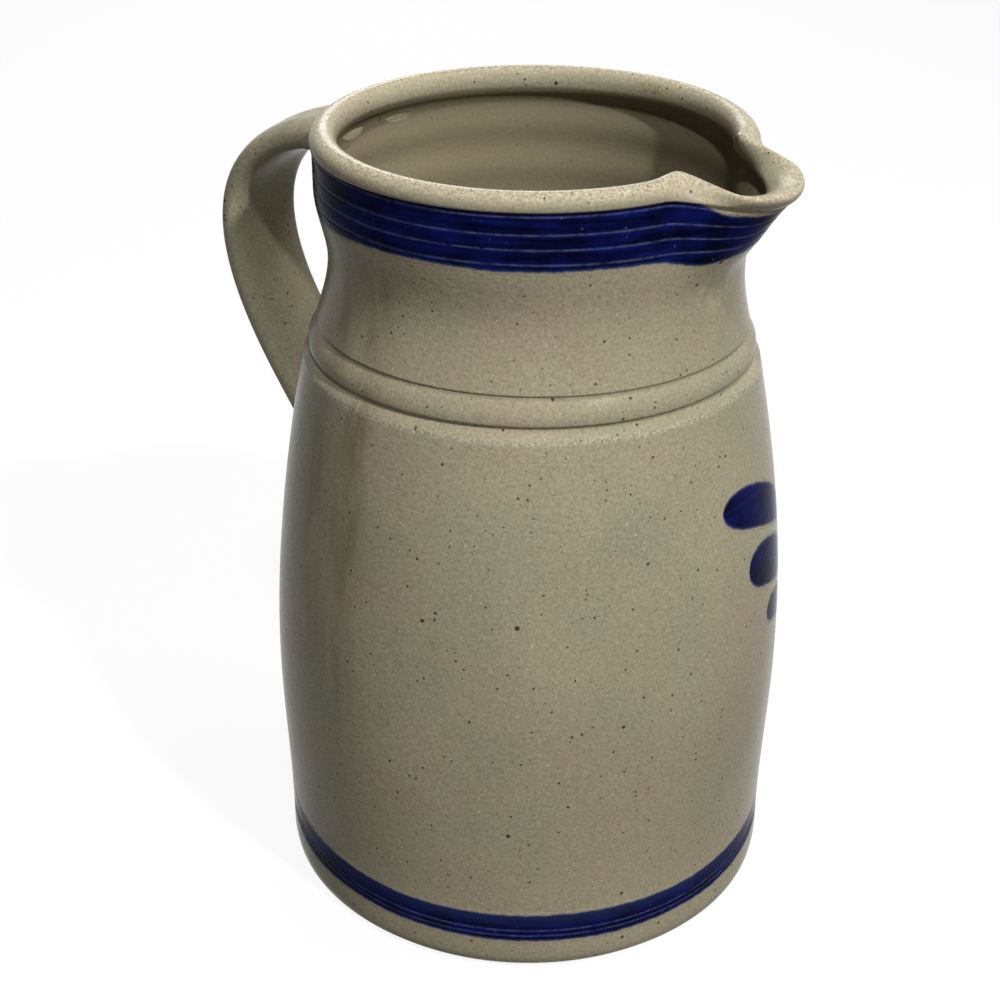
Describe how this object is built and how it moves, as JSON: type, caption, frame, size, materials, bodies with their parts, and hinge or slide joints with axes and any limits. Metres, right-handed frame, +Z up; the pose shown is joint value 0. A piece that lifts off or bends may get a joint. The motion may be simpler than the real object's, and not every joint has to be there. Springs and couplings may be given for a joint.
{
  "type": "pitcher",
  "caption": "Wheel-thrown salt-glazed stoneware pitcher with a pulled spout, a strap handle, beaded shoulder lines and cobalt slip bands with brushed leaves.",
  "frame": {"origin": "centre of the flat base", "axes": "+Z up, +X along the spout, -X towards the handle"},
  "size_m": [0.1755, 0.1456, 0.22],
  "materials": {
    "salt_glazed_stoneware": "salt-glazed grey-buff stoneware, satin gloss with fine orange peel and iron specks",
    "cobalt_slip": "dark cobalt blue slip under a glossy salt glaze"
  },
  "bodies": {
    "root": {"thrown_body": "salt_glazed_stoneware", "strap_handle": "salt_glazed_stoneware", "collar_slip_band": "cobalt_slip", "foot_slip_band": "cobalt_slip", "lower_leaf_left": "cobalt_slip", "lower_leaf_right": "cobalt_slip", "middle_leaf_left": "cobalt_slip", "middle_leaf_right": "cobalt_slip", "upper_leaf_left": "cobalt_slip", "upper_leaf_right": "cobalt_slip"}
  },
  "joints": []
}
